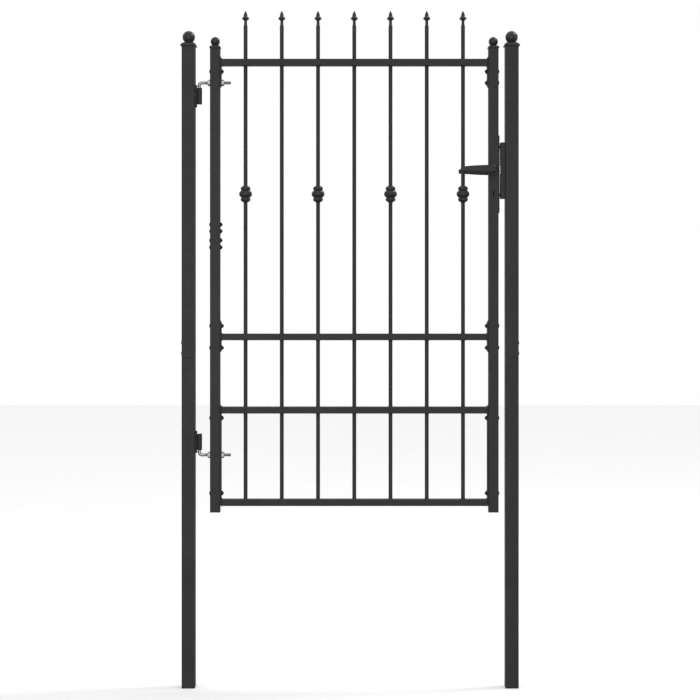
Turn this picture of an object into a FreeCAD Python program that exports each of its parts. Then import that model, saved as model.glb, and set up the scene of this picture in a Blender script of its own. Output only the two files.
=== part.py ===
import FreeCAD, Part
import math
import os

V = FreeCAD.Vector
X_AXIS = V(1, 0, 0)
Y_AXIS = V(0, 1, 0)
Z_AXIS = V(0, 0, 1)

# Garden gate: a steel leaf of round pickets hung between two posts.
# Millimetres. X runs across the opening, hinge side negative. Y runs from the
# outside (negative) to the inside. Z runs up from the underside of the posts.

# Posts: square tube in two lengths, joined over a spigot
POST_SIDE = 40.0
POST_WALL = 2.0
POST_CORNER = 2.0
POST_X = 490.0
POST_SEAM_Z = 1000.0
POST_TOP_Z = 1944.2
PLUG_PLATE = 3.0
PLUG_STEM = 12.0
POST_SEAM_BEVEL = 0.8
SPIGOT_GAP = 0.1
SPIGOT_WALL = 2.5
SPIGOT_BELOW = 120.0
SPIGOT_ABOVE = 80.0
POST_SCREW_Z = (1013.0, 1045.0)
POST_CAP = {"flange": 47.6, "height": 4.8, "slope": 7.5, "neck_r": 14.2, "ball_r": 19.0, "rise": 16.1}
POST_SCREW_REACH = 8.0

# Leaf stiles: square tube, the left one in two lengths over an inner sleeve
STILE_SIDE = 30.0
STILE_WALL = 1.5
STILE_CORNER = 1.5
LEFT_STILE_X = -409.5
RIGHT_STILE_X = 434.5
STILE_BOTTOM_Z = 531.5
STILE_TOP_Z = 1938.0
STILE_SEAM_Z = 1371.0
STILE_SEAM_BEVEL = 0.3
STILE_CAP = {"flange": 34.0, "height": 5.0, "slope": 4.0, "neck_r": 10.5, "ball_r": 14.2, "rise": 12.2}
CAP_EDGE = 1.0
SLEEVE_WALL = 2.0
SLEEVE_REACH = 70.0
SPLICE_BOLT_Z = (1404.0, 1384.0, 1356.0, 1335.0)

# Rails: flat-lying rectangular tube between the bracket plates
RAIL_HEIGHT = 20.0
RAIL_DEPTH = 30.0
RAIL_WALL = 1.5
RAIL_CORNER = 1.5
RAILS = {
    "rail_top": 1895.5,
    "rail_upper_middle": 1063.0,
    "rail_lower_middle": 841.0,
    "rail_bottom": 561.0,
}

# Bracket plates welded to the rail ends and bolted to the stiles
PLATE_THICK = 4.0
PLATE_WIDTH = 24.0
PLATE_BEVEL = 6.0
PLATES = {"top": (1819.0, 1916.0), "middle": (1015.0, 1114.0), "lower": (548.0, 858.0)}
PLATE_BOLT_Z = (1868.3, 1096.5, 1030.0, 817.0, 589.0)
HINGE_LEG_Z = {"upper": 1834.0, "lower": 705.0}

# Pickets, spear tips and collars
PICKET_COUNT = 7
PICKET_PITCH = 110.0
PICKET_R = 6.0
PICKET_WALL = 1.2
LEAF_CENTRE_X = 12.5
SPEAR_TIP_Z = 2052.5
SPEAR_LENGTH = 63.5
SPEAR_R = 6.15
SPEAR_PROFILE = (  # radius and depth below the tip: point, skirt, waist, shoulder
    (0.0, 0.0),
    (3.5, 5.5),
    (5.2, 10.5),
    (6.2, 17.5),
    (11.0, 20.8),
    (11.0, 26.2),
    (4.7, 28.8),
    (4.6, 42.0),
    (6.1, 46.0),
)
COLLAR_Z = 1496.6
COLLAR_HALF = 26.2
COLLAR_LIP_R = 7.2
COLLAR_GROOVE_R = 13.6
COLLAR_SIDE_R = 13.2
COLLAR_RING_R = (19.8, 15.1)
COLLAR_RING_Z = (10.4, 16.2, 21.6)
WELD_R = 7.6
WELD_HEIGHT = 2.4

# M6 carriage bolts and flange nuts
BOLT_R = 3.0
BOLT_HOLE_R = 3.2
BOLT_HEAD_R = 8.0
BOLT_HEAD_HEIGHT = 3.6
BOLT_NECK = 6.0
BOLT_NECK_HOLE_R = 4.4
BOLT_PAST_NUT = 2.3
NUT_FLANGE_R = 8.3
NUT_FLANGE_HEIGHT = 1.8
NUT_FLATS = 12.0
NUT_HEIGHT = 5.0

# Hinges: bent M10 rods in welded barrels
HINGE_X = -457.8
PIN_R = 5.0
PIN_CLEARANCE = 0.08
PIN_BEND_R = 8.0
HINGE_LEG_END_X = -362.0
BARREL_R = 8.2
BARREL_LENGTH = 49.0
BARREL_MID_Z = {"upper": 1793.6, "lower": 744.5}
BRACKET_THICK = 4.0
BRACKET_WIDTH = 16.0
BRACKET_HEIGHT = 67.0
BRACKET_WEB = 8.0
BRACKET_CORNER = 3.0
BRACKET_SCREW_OFFSET = 29.5
BRACKET_SCREW_HEAD_R = 4.0
BRACKET_SCREW_HEAD = 2.6
BRACKET_SCREW_R = 2.4
BRACKET_SCREW_REACH = 9.0
HEX_FLATS = 17.0
HEX_HEIGHT = 8.0

# Lock, mortised into the right stile
SPINDLE_Z = 1570.0
SPINDLE_SIDE = 8.0
SPINDLE_HALF = 38.0
KEY_Z = 1502.0
CASE_X = (421.2, 449.5)
CASE_HALF_Y = 7.5
CASE_Z = (1486.0, 1650.0)
CASE_WALL = 1.0
FOREND_X = (449.5, 452.5)
FOREND_HALF_Y = 11.0
FOREND_Z = (1439.0, 1674.0)
FOREND_SCREW_Z = (1451.0, 1664.0)
FOREND_SCREW_REACH = 10.0
FOREND_CORNER = 4.0
LATCH_TRAVEL = 10.5
LATCH_Z = (1557.0, 1583.0)
LATCH_HALF_Y = 6.0
LATCH_BEVEL = 9.0
LATCH_HUB_GAP = 0.5
HOOK_FACE_X = 2.5
HOOK_THICK = 3.0
HOOK_RISE = 3.5
HOOK_Y = (2.6, 5.6)
HUB_R = 7.5
HUB_COLLAR_R = 6.6
HUB_ARM_TILT = 20.0
HUB_ARM_REACH = 15.5
HUB_ARM_HALF = 1.75
HUB_ARM_HALF_Y = 2.2
DEADBOLT_TRAVEL = 12.5
DEADBOLT_Z = (1518.0, 1541.0)
DEADBOLT_HALF_Y = 5.0
DEADBOLT_TAIL_X = (424.0, 440.0)
DEADBOLT_TAIL_Y = (2.0, 4.0)
DEADBOLT_DROP = 2.0
OPENING_GAP = 0.3
SPRING_Z = 1559.5
SPRING_R = 2.0
SPRING_WIRE_R = 0.35
SPRING_TURNS = 9

# Handles and their roses
ROSE_THICK = 5.0
ROSE_HALF = (14.0, 18.5)
JOURNAL_R = 8.0
JOURNAL_CLEARANCE = 0.08
NECK_HALF = (7.0, 12.0)
NECK_FRONT = 42.0
NECK_CORNER = 6.5
JOURNAL_INSET = 0.5
LEVER_DEPTH = 10.0
LEVER_TIP_X = 332.0
LEVER_TIP_RUN = 20.0
LEVER_ROOT_CORNER = 6.0
LEVER_TIP_Z = (-8.0, 2.5, 7.8)
LEVER_ROOT_Z = (-12.5, 12.0)
ESCUTCHEON_HALF = (8.0, 14.5)
ESCUTCHEON_THICK = 2.0
KEYHOLE_R = 2.8
KEYHOLE_SLOT = 3.2
KEYHOLE_DROP = 15.5

# Keep on the right post, with two tabs that stop the leaf
KEEP_FACE_X = 455.5
KEEP_SHEET = 3.0
KEEP_Z = (1482.4, 1652.4)
KEEP_FRONT_Y = -15.0
STOP_Y = (15.3, 18.3)
STOP_X = 444.0
STOP_HALF_HEIGHT = 4.0
KEEP_WINDOW_HALF = 7.5
KEEP_WINDOW_GAP = 2.0
KEEP_SCREW_Z = (1495.3, 1640.7)
KEEP_SCREW_HEAD_R = 4.5
KEEP_SCREW_HEAD = 1.5
KEEP_SCREW_R = 2.5
KEEP_SCREW_REACH = 22.0


def block(x0, x1, y0, y1, z0, z1):
    return Part.makeBox(x1 - x0, y1 - y0, z1 - z0, V(x0, y0, z0))


def rod(start, axis, length, radius):
    return Part.makeCylinder(radius, length, start, axis)


def edges_along(shape, axis):
    """The straight edges of a shape that run along an axis."""
    chosen = []
    for edge in shape.Edges:
        tangent = edge.tangentAt(edge.FirstParameter)
        if isinstance(edge.Curve, Part.Line) and abs(tangent.dot(axis)) > 0.999:
            chosen.append(edge)
    return chosen


def upright_bar(x, width, depth, z0, z1, corner):
    """A solid bar along Z with rounded corners, centred on Y = 0."""
    bar = block(x - width / 2, x + width / 2, -depth / 2, depth / 2, z0, z1)
    return bar.makeFillet(corner, edges_along(bar, Z_AXIS))


def upright_tube(x, side, z0, z1, wall, corner):
    inner = side / 2 - wall
    hollow = block(x - inner, x + inner, -inner, inner, z0 - 1, z1 + 1)
    return upright_bar(x, side, side, z0, z1, corner).cut(hollow)


def bevel_end(tube, z, size):
    """Breaks the outer edge of the end of a tube at height z."""
    end_faces = [f for f in tube.Faces if abs(f.BoundBox.ZMin - z) < 0.01 and f.BoundBox.ZLength < 0.01]
    return tube.makeChamfer(size, end_faces[0].OuterWire.Edges)


def revolve(edges, centre_x):
    """A solid of revolution about the vertical line X = centre_x, Y = 0."""
    face = Part.Face(Part.Wire(edges))
    return face.revolve(V(centre_x, 0, 0), Z_AXIS, 360)


def polyline(points):
    """Straight edges from point to point."""
    return [Part.makeLine(a, b) for a, b in zip(points, points[1:])]


def arc(start, middle, end):
    return Part.Arc(start, middle, end).toShape()


def prism(points, direction):
    """A closed outline swept along a straight direction."""
    return Part.Face(Part.makePolygon(points + points[:1])).extrude(direction)


def hexagon(centre, axis, flats, height, turn):
    """A hexagonal prism along an X direction; with no turn, two corners point up and down."""
    corner_r = flats / math.sqrt(3)
    points = []
    for step in range(6):
        angle = math.radians(turn + 60 * step)
        points.append(centre + V(0, corner_r * math.sin(angle), corner_r * math.cos(angle)))
    return prism(points, axis * height)


def dome(base, axis, radius, height):
    """A shallow round head: the part of a ball that stands above its base plane."""
    ball_r = (radius ** 2 + height ** 2) / (2 * height)
    ball = Part.makeSphere(ball_r, base - axis * (ball_r - height))
    return ball.common(rod(base, axis, height, radius))


def keyhole(y0, y1):
    """The hole that the key goes through, between two Y planes."""
    x = RIGHT_STILE_X
    start = V(x, y0, KEY_Z)
    round_part = rod(start, Y_AXIS, y1 - y0, KEYHOLE_R)
    slot = block(x - KEYHOLE_SLOT / 2, x + KEYHOLE_SLOT / 2, y0, y1, KEY_Z - KEYHOLE_DROP, KEY_Z)
    return round_part.fuse(slot)


def stadium_plate(half_width, half_height, y0, y1, x, z):
    """A flat plate with round ends, standing in the XZ plane."""
    straight = half_height - half_width
    plate = block(x - half_width, x + half_width, y0, y1, z - straight, z + straight)
    for end in (-1, 1):
        plate = plate.fuse(rod(V(x, y0, z + end * straight), Y_AXIS, y1 - y0, half_width))
    return plate.removeSplitter()


# ---- posts ----

def post_lower(side):
    tube = upright_tube(side * POST_X, POST_SIDE, PLUG_PLATE, POST_SEAM_Z, POST_WALL, POST_CORNER)
    return bevel_end(tube, POST_SEAM_Z, POST_SEAM_BEVEL)


def post_upper(side):
    tube = upright_tube(side * POST_X, POST_SIDE, POST_SEAM_Z, POST_TOP_Z, POST_WALL, POST_CORNER)
    tube = bevel_end(tube, POST_SEAM_Z, POST_SEAM_BEVEL)
    for z in POST_SCREW_Z:
        tube = tube.cut(rod(V(side * POST_X, 0, z), X_AXIS * side, POST_SIDE, BOLT_R))
    if side < 0:
        return cut_bracket_holes(tube, "upper")
    inner_face = POST_X - POST_SIDE / 2
    for z in KEEP_SCREW_Z:
        tube = tube.cut(rod(V(inner_face - 1, 0, z), X_AXIS, POST_WALL + 2, KEEP_SCREW_R))
    return tube


def cut_bracket_holes(tube, which):
    inner_face = -POST_X + POST_SIDE / 2
    for end in (-1, 1):
        start = V(inner_face + 1, 0, BARREL_MID_Z[which] + end * BRACKET_SCREW_OFFSET)
        tube = tube.cut(rod(start, -X_AXIS, POST_WALL + 2, BRACKET_SCREW_R))
    return tube


def post_spigot(side):
    width = POST_SIDE - 2 * POST_WALL - 2 * SPIGOT_GAP
    low = POST_SEAM_Z - SPIGOT_BELOW
    high = POST_SEAM_Z + SPIGOT_ABOVE
    tube = upright_tube(side * POST_X, width, low, high, SPIGOT_WALL, POST_CORNER)
    for z in POST_SCREW_Z:
        tube = tube.cut(rod(V(side * POST_X, 0, z), X_AXIS * side, POST_SIDE, BOLT_R))
    return tube


def post_screws():
    screws = []
    for side in (-1, 1):
        outward = X_AXIS * side
        for z in POST_SCREW_Z:
            seat = V(side * (POST_X + POST_SIDE / 2), 0, z)
            head = dome(seat, outward, BOLT_HEAD_R, BOLT_HEAD_HEIGHT)
            screws.append(head.fuse(rod(seat, -outward, POST_SCREW_REACH, BOLT_R)))
    return screws


def foot_plug(x, z, side, wall, corner):
    """The plate and stem that close the open lower end of a tube."""
    plate = upright_bar(x, side, side, z, z + PLUG_PLATE, corner)
    stem_side = side - 2 * wall
    stem = block(x - stem_side / 2, x + stem_side / 2, -stem_side / 2, stem_side / 2,
                 z + PLUG_PLATE, z + PLUG_PLATE + PLUG_STEM)
    return plate.fuse(stem)


def frustum(x, z0, z1, low_side, high_side):
    """A square block that tapers upwards."""
    squares = []
    for z, side in ((z0, low_side), (z1, high_side)):
        h = side / 2
        corners = [V(x - h, -h, z), V(x + h, -h, z), V(x + h, h, z), V(x - h, h, z)]
        squares.append(Part.makePolygon(corners + corners[:1]))
    return Part.makeLoft(squares, True, True)


def ball_cap(x, z, bore, cap):
    """A cap that plugs a tube: stem, square flange, sloped shoulder and ball."""
    stem = upright_bar(x, bore, bore, z - PLUG_STEM, z, CAP_EDGE)
    shoulder_z = z + cap["height"]
    plate = upright_bar(x, cap["flange"], cap["flange"], z, shoulder_z, CAP_EDGE)
    neck_z = shoulder_z + cap["slope"]
    shoulder = frustum(x, shoulder_z, neck_z, cap["flange"] - 2 * CAP_EDGE, 2 * cap["neck_r"])
    neck = rod(V(x, 0, shoulder_z), Z_AXIS, cap["slope"] + cap["rise"], cap["neck_r"])
    ball = Part.makeSphere(cap["ball_r"], V(x, 0, neck_z + cap["rise"]))
    return stem.fuse([plate, shoulder, neck, ball]).removeSplitter()


def post_cap(side):
    return ball_cap(side * POST_X, POST_TOP_Z, POST_SIDE - 2 * POST_WALL, POST_CAP)


def stile_cap(x):
    return ball_cap(x, STILE_TOP_Z, STILE_SIDE - 2 * STILE_WALL, STILE_CAP)


# ---- hinges ----

def hinge_bracket(which):
    """The plate on the post with the barrel welded to it."""
    face_x = -POST_X + POST_SIDE / 2
    mid = BARREL_MID_Z[which]
    half_height = BRACKET_HEIGHT / 2
    half_width = BRACKET_WIDTH / 2
    plate = block(face_x, face_x + BRACKET_THICK, -half_width, half_width,
                  mid - half_height, mid + half_height)
    plate = plate.makeFillet(BRACKET_CORNER, edges_along(plate, X_AXIS))
    low = mid - BARREL_LENGTH / 2
    barrel = rod(V(HINGE_X, 0, low), Z_AXIS, BARREL_LENGTH, BARREL_R)
    web = block(face_x, HINGE_X, -BRACKET_WEB / 2, BRACKET_WEB / 2, low, low + BARREL_LENGTH)
    bore = rod(V(HINGE_X, 0, low - 1), Z_AXIS, BARREL_LENGTH + 2, PIN_R + PIN_CLEARANCE)
    bracket = plate.fuse([barrel, web]).cut(bore)
    for end in (-1, 1):
        start = V(face_x - 1, 0, mid + end * BRACKET_SCREW_OFFSET)
        bracket = bracket.cut(rod(start, X_AXIS, BRACKET_THICK + 2, BRACKET_SCREW_R))
    return bracket


def hinge_bracket_screws():
    screws = []
    seat_x = -POST_X + POST_SIDE / 2 + BRACKET_THICK
    for mid in BARREL_MID_Z.values():
        for end in (-1, 1):
            seat = V(seat_x, 0, mid + end * BRACKET_SCREW_OFFSET)
            head = dome(seat, X_AXIS, BRACKET_SCREW_HEAD_R, BRACKET_SCREW_HEAD)
            screws.append(head.fuse(rod(seat, -X_AXIS, BRACKET_SCREW_REACH, BRACKET_SCREW_R)))
    return screws


def hinge_bolt(which):
    """A bent rod: the pin turns in the barrel, the leg crosses the left stile."""
    leg_z = HINGE_LEG_Z[which]
    mid = BARREL_MID_Z[which]
    pin_way = -1 if mid < leg_z else 1
    centre = V(HINGE_X + PIN_BEND_R, 0, leg_z + pin_way * PIN_BEND_R)
    pin_start = V(HINGE_X, 0, centre.z)
    pin_end_z = mid + pin_way * BARREL_LENGTH / 2
    pin = rod(pin_start, Z_AXIS * pin_way, abs(pin_end_z - centre.z), PIN_R)
    section = Part.Face(Part.Wire(Part.makeCircle(PIN_R, pin_start, Z_AXIS)))
    bend = section.revolve(centre, Y_AXIS, -90 * pin_way)
    leg = rod(V(centre.x, 0, leg_z), X_AXIS, HINGE_LEG_END_X - centre.x, PIN_R)
    return pin.fuse([bend, leg])


def hinge_nuts():
    """A nut on each side of the stile on each hinge rod."""
    nuts = []
    outer_x = LEFT_STILE_X - STILE_SIDE / 2
    inner_x = LEFT_STILE_X + STILE_SIDE / 2 + PLATE_THICK
    for leg_z in HINGE_LEG_Z.values():
        for x, way in ((outer_x, -X_AXIS), (inner_x, X_AXIS)):
            nut = hexagon(V(x, 0, leg_z), way, HEX_FLATS, HEX_HEIGHT, 0)
            nuts.append(nut.cut(rod(V(x, 0, leg_z) - way, way, HEX_HEIGHT + 2, PIN_R)))
    return nuts


# ---- stiles ----

def bolt_heights(side):
    """Heights of the bracket bolts; the upper hinge rod takes one hole on the left."""
    if side < 0:
        return PLATE_BOLT_Z
    return PLATE_BOLT_Z + (HINGE_LEG_Z["upper"],)


def drill_bolt(shape, x, side, z):
    """A bolt hole right through a stile, wider in the outer wall for the square neck."""
    reach = STILE_SIDE / 2 + 1
    through = rod(V(x - side * reach, 0, z), X_AXIS * side, 2 * reach, BOLT_HOLE_R)
    neck = rod(V(x, 0, z), X_AXIS * side, reach, BOLT_NECK_HOLE_R)
    return shape.cut(through.fuse(neck))


def drill_hinge_leg(shape, which):
    start = V(LEFT_STILE_X - STILE_SIDE, 0, HINGE_LEG_Z[which])
    return shape.cut(rod(start, X_AXIS, 2 * STILE_SIDE, PIN_R))


def left_stile(z0, z1, which):
    """One length of the hinge stile, with the hole of its hinge rod."""
    tube = upright_tube(LEFT_STILE_X, STILE_SIDE, z0, z1, STILE_WALL, STILE_CORNER)
    tube = bevel_end(tube, STILE_SEAM_Z, STILE_SEAM_BEVEL)
    for z in bolt_heights(-1) + SPLICE_BOLT_Z:
        if z0 < z < z1:
            tube = drill_bolt(tube, LEFT_STILE_X, -1, z)
    return drill_hinge_leg(tube, which)


def left_stile_sleeve():
    width = STILE_SIDE - 2 * STILE_WALL - 2 * SPIGOT_GAP
    low = STILE_SEAM_Z - SLEEVE_REACH
    high = STILE_SEAM_Z + SLEEVE_REACH
    sleeve = upright_tube(LEFT_STILE_X, width, low, high, SLEEVE_WALL, STILE_CORNER)
    for z in SPLICE_BOLT_Z:
        sleeve = drill_bolt(sleeve, LEFT_STILE_X, -1, z)
    return sleeve


def right_stile():
    """The lock stile: a slot for the case, and holes for the spindle and the key."""
    x = RIGHT_STILE_X
    half = STILE_SIDE / 2
    bottom = STILE_BOTTOM_Z + PLUG_PLATE
    tube = upright_tube(x, STILE_SIDE, bottom, STILE_TOP_Z, STILE_WALL, STILE_CORNER)
    for z in bolt_heights(1):
        tube = drill_bolt(tube, x, 1, z)
    tube = tube.cut(block(x + half - STILE_WALL - 1, x + half + 1, -CASE_HALF_Y, CASE_HALF_Y, *CASE_Z))
    tube = tube.cut(rod(V(x, -half - 1, SPINDLE_Z), Y_AXIS, STILE_SIDE + 2, JOURNAL_R + 1))
    tube = tube.cut(keyhole(-half - 1, half + 1))
    for z in FOREND_SCREW_Z:
        tube = tube.cut(rod(V(x, 0, z), X_AXIS, STILE_SIDE, KEEP_SCREW_R))
    return tube


def stile_plugs():
    plugs = []
    for x in (LEFT_STILE_X, RIGHT_STILE_X):
        plugs.append(foot_plug(x, STILE_BOTTOM_Z, STILE_SIDE, STILE_WALL, STILE_CORNER))
    return plugs


# ---- rails, pickets and their trim ----

def inner_face_x(side):
    """X of the face of a stile that looks at the pickets."""
    return LEFT_STILE_X + STILE_SIDE / 2 if side < 0 else RIGHT_STILE_X - STILE_SIDE / 2


def picket_x(index):
    return LEAF_CENTRE_X + (index - (PICKET_COUNT - 1) / 2) * PICKET_PITCH


def rail(z, pickets_pass):
    x0 = inner_face_x(-1) + PLATE_THICK
    x1 = inner_face_x(1) - PLATE_THICK
    half_h = RAIL_HEIGHT / 2
    half_d = RAIL_DEPTH / 2
    bar = block(x0, x1, -half_d, half_d, z - half_h, z + half_h)
    bar = bar.makeFillet(RAIL_CORNER, edges_along(bar, X_AXIS))
    tube = bar.cut(block(x0 - 1, x1 + 1, RAIL_WALL - half_d, half_d - RAIL_WALL,
                         z - half_h + RAIL_WALL, z + half_h - RAIL_WALL))
    if pickets_pass:
        for index in range(PICKET_COUNT):
            foot = V(picket_x(index), 0, z - RAIL_HEIGHT)
            tube = tube.cut(rod(foot, Z_AXIS, 2 * RAIL_HEIGHT, PICKET_R))
    return tube


def picket(index):
    """A round tube with the weld bead that joins it to the bottom rail."""
    foot = V(picket_x(index), 0, RAILS["rail_bottom"] + RAIL_HEIGHT / 2)
    length = SPEAR_TIP_Z - SPEAR_LENGTH - foot.z
    bead = Part.makeCone(WELD_R, PICKET_R, WELD_HEIGHT, foot, Z_AXIS)
    bar = rod(foot, Z_AXIS, length, PICKET_R).fuse(bead)
    return bar.cut(rod(foot, Z_AXIS, length, PICKET_R - PICKET_WALL))


def spear(x):
    """A cast tip: point, flared skirt, waist and socket."""
    socket = ((SPEAR_R, SPEAR_PROFILE[-1][1] + 1), (SPEAR_R, SPEAR_LENGTH), (0, SPEAR_LENGTH))
    points = [V(x + r, 0, SPEAR_TIP_Z - depth) for r, depth in SPEAR_PROFILE + socket]
    return revolve(polyline(points + points[:1]), x)


def collar(x):
    """A cast collar of three rings, threaded on a picket."""
    def at(r, rise):
        return V(x + r, 0, COLLAR_Z + rise)

    large_r, small_r = COLLAR_RING_R
    groove_z, small_z, side_z = COLLAR_RING_Z
    rings = [arc(at(COLLAR_GROOVE_R, -groove_z), at(large_r, 0), at(COLLAR_GROOVE_R, groove_z))]
    for way in (-1, 1):
        groove = at(COLLAR_GROOVE_R, way * groove_z)
        side = at(COLLAR_SIDE_R, way * side_z)
        lip = at(COLLAR_LIP_R, way * COLLAR_HALF)
        rings += [arc(groove, at(small_r, way * small_z), side)]
        rings += polyline([side, lip, at(PICKET_R, way * COLLAR_HALF)])
    rings += polyline([at(PICKET_R, COLLAR_HALF), at(PICKET_R, -COLLAR_HALF)])
    return revolve(Part.__sortEdges__(rings), x)


def plate(side, span):
    """A bevel-ended bracket plate on the inner face of a stile."""
    z0, z1 = span
    base = inner_face_x(side)
    out = base - side * PLATE_THICK
    half = PLATE_WIDTH / 2
    points = [
        V(base, -half, z0),
        V(out, -half, z0 + PLATE_BEVEL),
        V(out, -half, z1 - PLATE_BEVEL),
        V(base, -half, z1),
    ]
    shape = prism(points, Y_AXIS * PLATE_WIDTH)
    for z in bolt_heights(side):
        if z0 < z < z1:
            hole = rod(V(base + side, 0, z), X_AXIS * -side, PLATE_THICK + 2, BOLT_HOLE_R)
            shape = shape.cut(hole)
    for which, z in HINGE_LEG_Z.items():
        if side < 0 and z0 < z < z1:
            shape = drill_hinge_leg(shape, which)
    return shape


def bolt_places():
    """Stile centre, side and height of every carriage bolt, and the plate under its nut."""
    places = [(LEFT_STILE_X, -1, z, PLATE_THICK) for z in bolt_heights(-1)]
    places += [(LEFT_STILE_X, -1, z, 0.0) for z in SPLICE_BOLT_Z]
    places += [(RIGHT_STILE_X, 1, z, PLATE_THICK) for z in bolt_heights(1)]
    return places


def carriage_bolts():
    bolts = []
    for x, side, z, under_nut in bolt_places():
        seat = V(x + side * STILE_SIDE / 2, 0, z)
        outward = X_AXIS * side
        head = dome(seat, outward, BOLT_HEAD_R, BOLT_HEAD_HEIGHT)
        half = BOLT_NECK / 2
        far = seat.x - side * BOLT_NECK / 2
        neck = block(min(seat.x, far), max(seat.x, far), -half, half, z - half, z + half)
        shank = rod(seat, -outward, STILE_SIDE + under_nut + NUT_HEIGHT + BOLT_PAST_NUT, BOLT_R)
        bolts.append(head.fuse([neck, shank]))
    return bolts


def flange_nuts():
    nuts = []
    for x, side, z, under_nut in bolt_places():
        seat = V(x - side * (STILE_SIDE / 2 + under_nut), 0, z)
        inward = X_AXIS * -side
        skirt = Part.makeCone(NUT_FLANGE_R, NUT_FLATS / 2, NUT_FLANGE_HEIGHT * 2, seat, inward)
        skirt = skirt.common(rod(seat, inward, NUT_FLANGE_HEIGHT, NUT_FLANGE_R))
        nut = skirt.fuse(hexagon(seat, inward, NUT_FLATS, NUT_HEIGHT, 30))
        nuts.append(nut.cut(rod(seat - inward, inward, NUT_HEIGHT + 2, BOLT_R)))
    return nuts


# ---- lock ----

def lock_case():
    """A folded case, open towards the forend."""
    x0, x1 = CASE_X
    z0, z1 = CASE_Z
    half = CASE_HALF_Y
    wall = CASE_WALL
    case = block(x0, x1, -half, half, z0, z1)
    case = case.cut(block(x0 + wall, x1 + 1, wall - half, half - wall, z0 + wall, z1 - wall))
    bore_r = HUB_COLLAR_R + JOURNAL_CLEARANCE
    case = case.cut(rod(V(RIGHT_STILE_X, -half - 1, SPINDLE_Z), Y_AXIS, 2 * half + 2, bore_r))
    return case.cut(keyhole(-half - 1, half + 1))


def lock_forend():
    """The cover strip on the edge of the leaf, with windows for both bolts."""
    x0, x1 = FOREND_X
    strip = block(x0, x1, -FOREND_HALF_Y, FOREND_HALF_Y, *FOREND_Z)
    strip = strip.makeFillet(FOREND_CORNER, edges_along(strip, X_AXIS))
    for (z0, z1), half in ((LATCH_Z, LATCH_HALF_Y), (DEADBOLT_Z, DEADBOLT_HALF_Y)):
        gap = OPENING_GAP
        strip = strip.cut(block(x0 - 1, x1 + 1, -half - gap, half + gap, z0 - gap, z1 + gap))
    for z in FOREND_SCREW_Z:
        strip = strip.cut(rod(V(x0 - 1, 0, z), X_AXIS, x1 - x0 + 2, KEEP_SCREW_R))
    return strip


def forend_screws():
    screws = []
    for z in FOREND_SCREW_Z:
        seat = V(FOREND_X[1], 0, z)
        head = dome(seat, X_AXIS, KEEP_SCREW_HEAD_R, KEEP_SCREW_HEAD)
        screws.append(head.fuse(rod(seat, -X_AXIS, FOREND_SCREW_REACH, KEEP_SCREW_R)))
    return screws


def hub():
    """The follower: a collared disc with one arm that draws the latch back."""
    x, z = RIGHT_STILE_X, SPINDLE_Z
    half = CASE_HALF_Y
    disc = rod(V(x, -LATCH_HALF_Y, z), Y_AXIS, 2 * LATCH_HALF_Y, HUB_R)
    collar_rod = rod(V(x, -half, z), Y_AXIS, 2 * half, HUB_COLLAR_R)
    arm = block(x - HUB_ARM_HALF, x + HUB_ARM_HALF, -HUB_ARM_HALF_Y, HUB_ARM_HALF_Y, z, z + HUB_ARM_REACH)
    arm.rotate(V(x, 0, z), Y_AXIS, HUB_ARM_TILT)
    side = SPINDLE_SIDE / 2
    square = block(x - side, x + side, -half - 1, half + 1, z - side, z + side)
    return disc.fuse([collar_rod, arm]).cut(square)


def latch_bolt():
    """A bevelled head, hollowed at the back to clear the hub, and a hooked tail above it."""
    z0, z1 = LATCH_Z
    half = LATCH_HALF_Y
    tip_x = FOREND_X[1] + LATCH_TRAVEL
    back_x = RIGHT_STILE_X + LATCH_TRAVEL
    outline = [
        V(back_x, -half, z0),
        V(tip_x, -half, z0),
        V(tip_x, -half / 2, z0),
        V(tip_x - LATCH_BEVEL, half, z0),
        V(back_x, half, z0),
    ]
    head = prism(outline, Z_AXIS * (z1 - z0))
    head = head.cut(rod(V(back_x, -half - 1, SPINDLE_Z), Y_AXIS, 2 * half + 2, HUB_R + LATCH_HUB_GAP))
    hook_x = RIGHT_STILE_X + HOOK_FACE_X
    near_y, far_y = HOOK_Y
    top = z1 + HOOK_RISE
    tail = block(hook_x - HOOK_THICK, back_x + HOOK_THICK, near_y, far_y, z1 - HOOK_RISE, top)
    hook = block(hook_x - HOOK_THICK, hook_x, -near_y, far_y, z1, top)
    return head.fuse([tail, hook])


def latch_spring():
    """A coil spring from the back of the case to the back of the latch."""
    x0 = CASE_X[0] + CASE_WALL
    x1 = RIGHT_STILE_X + LATCH_TRAVEL
    length = x1 - x0 - 2 * SPRING_WIRE_R
    helix = Part.makeHelix(length / SPRING_TURNS, length, SPRING_R)
    circle = Part.Wire(Part.makeCircle(SPRING_WIRE_R, V(SPRING_R, 0, 0), Y_AXIS))
    coil = Part.Wire(helix.Edges).makePipeShell([circle], True, True)
    coil.rotate(V(0, 0, 0), Y_AXIS, 90)
    coil.translate(V(x0 + SPRING_WIRE_R, 0, SPRING_Z))
    return coil


def deadbolt():
    """A square bolt with a thin tail plate that reaches down to the key."""
    tail_x, head_from = DEADBOLT_TAIL_X
    drop_to = FOREND_X[0] - DEADBOLT_TRAVEL - OPENING_GAP
    head = block(drop_to, FOREND_X[1], -DEADBOLT_HALF_Y, DEADBOLT_HALF_Y, *DEADBOLT_Z)
    tail = block(tail_x, head_from, *DEADBOLT_TAIL_Y, *DEADBOLT_Z)
    drop = block(tail_x, drop_to, *DEADBOLT_TAIL_Y, CASE_Z[0] + DEADBOLT_DROP, DEADBOLT_Z[0])
    return head.fuse([tail, drop])


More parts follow.
